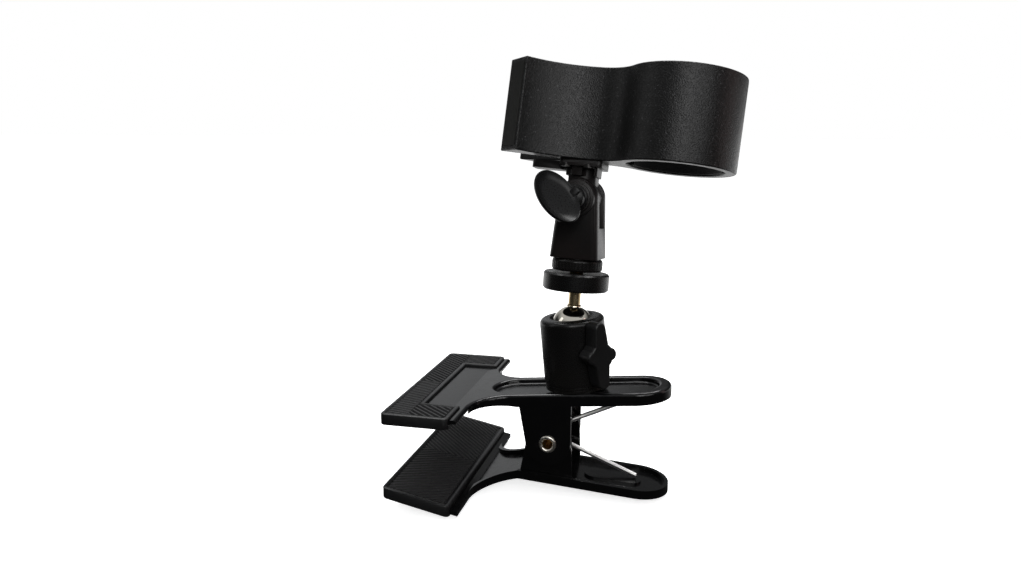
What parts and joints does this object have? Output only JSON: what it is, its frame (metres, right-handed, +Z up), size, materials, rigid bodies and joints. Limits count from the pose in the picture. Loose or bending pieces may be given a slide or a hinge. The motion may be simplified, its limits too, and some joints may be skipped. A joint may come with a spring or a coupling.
{
  "type": "clamp-on instrument pickup and microphone clip",
  "caption": "Spring clamp with a locking ball head and swivel yoke that carries a sprung clip for a round microphone or pickup.",
  "frame": {"origin": "centre of the upper pad's gripping face", "axes": "+X from the jaws to the handles, +Y along the pads, +Z up through the ball head"},
  "size_m": [0.1301, 0.088, 0.1728],
  "materials": {
    "black_paint": "gloss black enamel on pressed steel",
    "pad_rubber": "black moulded rubber",
    "nickel": "bright nickel plate",
    "spring_steel": "bright drawn wire",
    "zinc_steel": "zinc plated steel",
    "black_anodised": "satin black on aluminium",
    "brass_plug": "plain turned brass",
    "seat_nylon": "natural nylon",
    "chrome_ball": "polished chrome",
    "knob_plastic": "black moulded plastic, fine grain",
    "yoke_plastic": "black glass-filled nylon, satin",
    "clip_plastic": "black moulded plastic, pebbled grain",
    "cap_plastic": "smooth black plastic",
    "washer_fibre": "brown fibre",
    "liner_rubber": "soft black rubber"
  },
  "bodies": {
    "upper_jaw": {"upper_jaw_plate": "black_paint", "upper_jaw_pad": "pad_rubber", "pivot_rivet": "nickel", "clamp_spring": "spring_steel", "housing_base": "black_anodised", "ball_housing": "black_anodised", "housing_screw": "zinc_steel", "housing_washer": "zinc_steel", "clutch_plug": "brass_plug"},
    "lower_jaw": {"lower_jaw_plate": "black_paint", "lower_jaw_pad": "pad_rubber", "clamp_spring_arm": "spring_steel"},
    "lock_knob": {"lock_knob": "knob_plastic", "lock_screw": "zinc_steel"},
    "ball_seat": {"ball_seat": "seat_nylon"},
    "ball_stem": {"ball_stud": "chrome_ball", "platform_disc": "black_anodised"},
    "adapter": {"thread_adapter": "black_anodised"},
    "yoke": {"swivel_yoke": "yoke_plastic", "tilt_nut": "zinc_steel"},
    "tilt_knob": {"tilt_paddle": "knob_plastic", "tilt_bolt": "zinc_steel"},
    "clip": {"clip_neck": "yoke_plastic", "neck_screws": "zinc_steel", "friction_washer_front": "washer_fibre", "friction_washer_rear": "washer_fibre", "front_jaw": "clip_plastic", "front_grip_cap": "cap_plastic", "front_liner": "liner_rubber", "jaw_pin": "zinc_steel", "jaw_spring": "spring_steel"},
    "rear_jaw": {"rear_jaw": "clip_plastic", "rear_grip_cap": "cap_plastic", "rear_liner": "liner_rubber", "jaw_spring_arm": "spring_steel"}
  },
  "joints": [
    {"name": "jaw_hinge", "type": "hinge", "parent": "upper_jaw", "child": "lower_jaw", "pos_m": [0.046, 0, -0.014], "axis": [0, 1, 0], "range_deg": [-30, 23], "stiffness_Nm_per_rad": 4},
    {"name": "lock_knob_turn", "type": "hinge", "parent": "upper_jaw", "child": "lock_knob", "pos_m": [0.05407, 0, 0.02303], "axis": [0.6791, -0.7314, 0.063], "range_deg": [-180, 180]},
    {"name": "ball_pan", "type": "hinge", "parent": "upper_jaw", "child": "ball_seat", "pos_m": [0.05325, 0, 0.0319], "axis": [-0.0924, 0, 0.9957], "continuous": true},
    {"name": "ball_tilt", "type": "hinge", "parent": "ball_seat", "child": "ball_stem", "pos_m": [0.05325, 0, 0.0319], "axis": [-0.5419, 0.839, -0.0503], "range_deg": [-39, 21]},
    {"name": "adapter_turn", "type": "hinge", "parent": "ball_stem", "child": "adapter", "pos_m": [0.05428, 0.00202, 0.05458], "axis": [0.0452, 0.0888, 0.995], "range_deg": [-180, 180]},
    {"name": "yoke_swivel", "type": "hinge", "parent": "adapter", "child": "yoke", "pos_m": [0.05451, 0.00249, 0.05976], "axis": [0.0452, 0.0888, 0.995], "range_deg": [-180, 180]},
    {"name": "tilt_knob_turn", "type": "hinge", "parent": "yoke", "child": "tilt_knob", "pos_m": [0.05558, 0.00458, 0.08324], "axis": [-0.0868, -0.9919, 0.0925], "range_deg": [-180, 180]},
    {"name": "clip_tilt", "type": "hinge", "parent": "yoke", "child": "clip", "pos_m": [0.05558, 0.00458, 0.08324], "axis": [0.0868, 0.9919, -0.0925], "range_deg": [-40, 40]},
    {"name": "rear_jaw_open", "type": "hinge", "parent": "clip", "child": "rear_jaw", "pos_m": [0.06124, 0.00534, 0.09704], "axis": [0.0834, 0.1859, 0.979], "range_deg": [0, 24], "stiffness_Nm_per_rad": 0.4, "springref_deg": -20.05}
  ]
}
